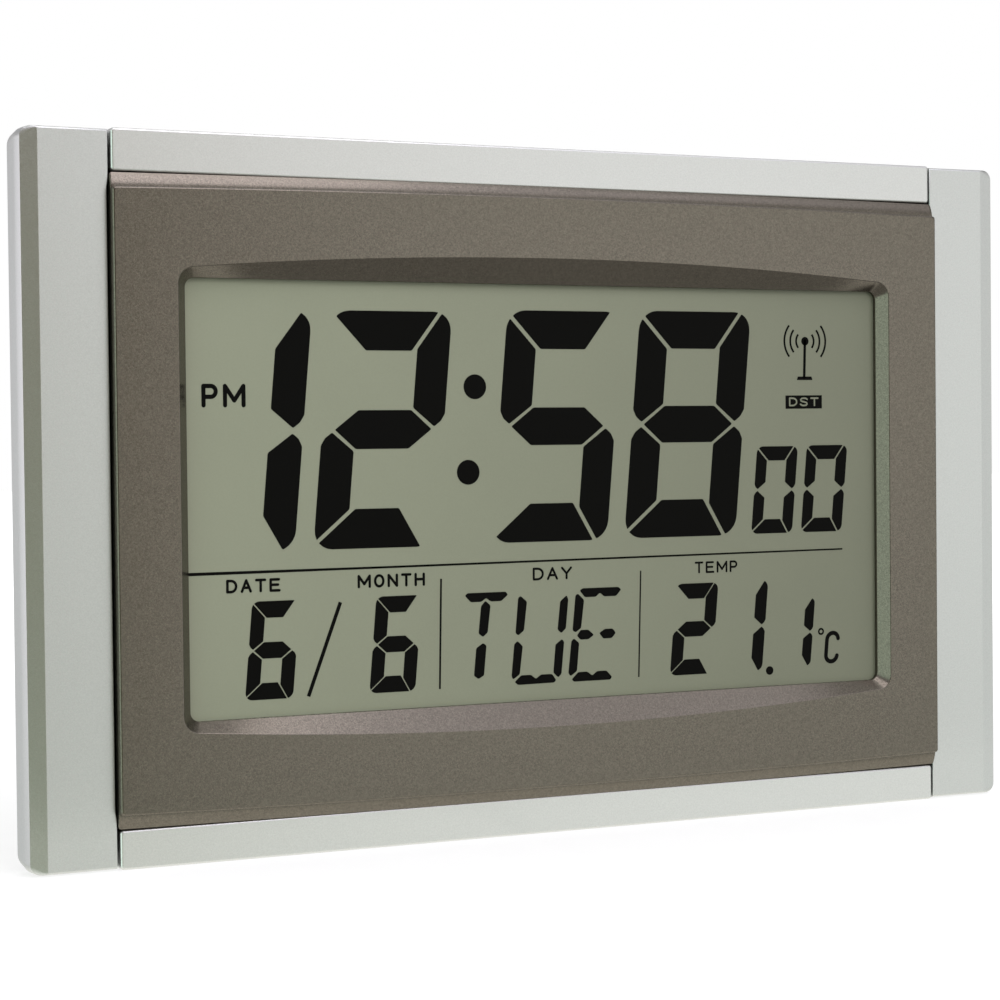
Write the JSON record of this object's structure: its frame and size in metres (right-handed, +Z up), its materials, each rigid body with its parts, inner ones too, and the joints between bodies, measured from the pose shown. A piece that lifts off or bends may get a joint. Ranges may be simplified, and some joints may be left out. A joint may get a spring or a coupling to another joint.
{
  "type": "digital clock",
  "caption": "Wide digital clock for a desk or wall, with a slab display in a bronze bezel, silver surround, fold-out stand, push buttons and a battery door behind.",
  "frame": {"origin": "centre of the clock's footprint, on the surface that it stands on", "axes": "+X to the clock's right as seen from the front, +Y to the rear, +Z up; the display faces -Y"},
  "size_m": [0.3562, 0.03, 0.226],
  "materials": {
    "silver_paint": "satin metallic silver paint on moulded plastic",
    "bronze_paint": "fine metallic bronze paint on moulded plastic",
    "black_plastic": "fine matt black moulding",
    "grey_plastic": "dark grey moulding with a light spark texture",
    "white_plastic": "plain white moulding",
    "display_face": "reflective liquid crystal display, olive ground with near-black segments",
    "reflector_film": "satin reflector film",
    "conductive_rubber": "layered silicone contact strip",
    "circuit_board": "green solder mask",
    "bright_steel": "nickel-plated steel",
    "foot_rubber": "matt black rubber",
    "cell_wrap": "plain printed film over a steel can",
    "ferrite": "bare ferrite",
    "copper_wire": "enamelled copper winding wire",
    "red_plastic": "red wire insulation"
  },
  "bodies": {
    "root": {"bezel": "bronze_paint", "left_side_panel": "silver_paint", "right_side_panel": "silver_paint", "top_bar": "silver_paint", "bottom_bar": "silver_paint", "front_housing": "black_plastic", "display_glass": "display_face", "display_reflector": "reflector_film", "display_holder": "white_plastic", "contact_strip": "conductive_rubber", "main_board": "circuit_board", "controller_chip": "black_plastic", "clock_crystal": "bright_steel", "temperature_sensor": "black_plastic", "rear_cover": "grey_plastic", "left_rear_foot": "foot_rubber", "right_rear_foot": "foot_rubber", "set_switch": "bright_steel", "plus_switch": "bright_steel", "minus_switch": "bright_steel", "unit_switch": "bright_steel", "wave_switch": "bright_steel", "cover_screw_1": "bright_steel", "cover_screw_2": "bright_steel", "cover_screw_3": "bright_steel", "cover_screw_4": "bright_steel", "cover_screw_5": "bright_steel", "cover_screw_6": "bright_steel", "holder_screw_1": "bright_steel", "holder_screw_2": "bright_steel", "holder_screw_3": "bright_steel", "holder_screw_4": "bright_steel", "board_screw_1": "bright_steel", "board_screw_2": "bright_steel", "board_screw_3": "bright_steel", "board_screw_4": "bright_steel", "upper_cell": "cell_wrap", "lower_cell": "cell_wrap", "battery_link": "bright_steel", "negative_contact": "bright_steel", "positive_contact": "bright_steel", "ferrite_rod": "ferrite", "antenna_coil": "copper_wire", "left_antenna_clip": "white_plastic", "right_antenna_clip": "white_plastic", "receiver_board": "circuit_board", "receiver_chip": "black_plastic", "positive_lead": "red_plastic", "negative_lead": "black_plastic", "receiver_lead": "grey_plastic", "antenna_lead": "copper_wire"},
    "battery_door": {"battery_door": "grey_plastic"},
    "stand": {"stand": "grey_plastic"},
    "set_button": {"set_button": "black_plastic"},
    "plus_button": {"plus_button": "black_plastic"},
    "minus_button": {"minus_button": "black_plastic"},
    "unit_button": {"unit_button": "black_plastic"},
    "wave_button": {"wave_button": "black_plastic"}
  },
  "joints": [
    {"name": "stand_fold", "type": "hinge", "parent": "root", "child": "stand", "pos_m": [0, 0.0131, 0.014], "axis": [-1, 0, 0], "range_deg": [0, 100]},
    {"name": "battery_door_hinge", "type": "hinge", "parent": "root", "child": "battery_door", "pos_m": [0.082, 0.0145, 0.10885], "axis": [-1, 0, 0], "range_deg": [0, 95]},
    {"name": "set_button_press", "type": "slide", "parent": "root", "child": "set_button", "axis": [0, -1, 0], "range_m": [0, 0.0008], "stiffness_N_per_m": 1000, "springref_m": -0.0004},
    {"name": "plus_button_press", "type": "slide", "parent": "root", "child": "plus_button", "axis": [0, -1, 0], "range_m": [0, 0.0008], "stiffness_N_per_m": 1000, "springref_m": -0.0004},
    {"name": "minus_button_press", "type": "slide", "parent": "root", "child": "minus_button", "axis": [0, -1, 0], "range_m": [0, 0.0008], "stiffness_N_per_m": 1000, "springref_m": -0.0004},
    {"name": "unit_button_press", "type": "slide", "parent": "root", "child": "unit_button", "axis": [0, -1, 0], "range_m": [0, 0.0008], "stiffness_N_per_m": 1000, "springref_m": -0.0004},
    {"name": "wave_button_press", "type": "slide", "parent": "root", "child": "wave_button", "axis": [0, -1, 0], "range_m": [0, 0.0008], "stiffness_N_per_m": 1000, "springref_m": -0.0004}
  ]
}
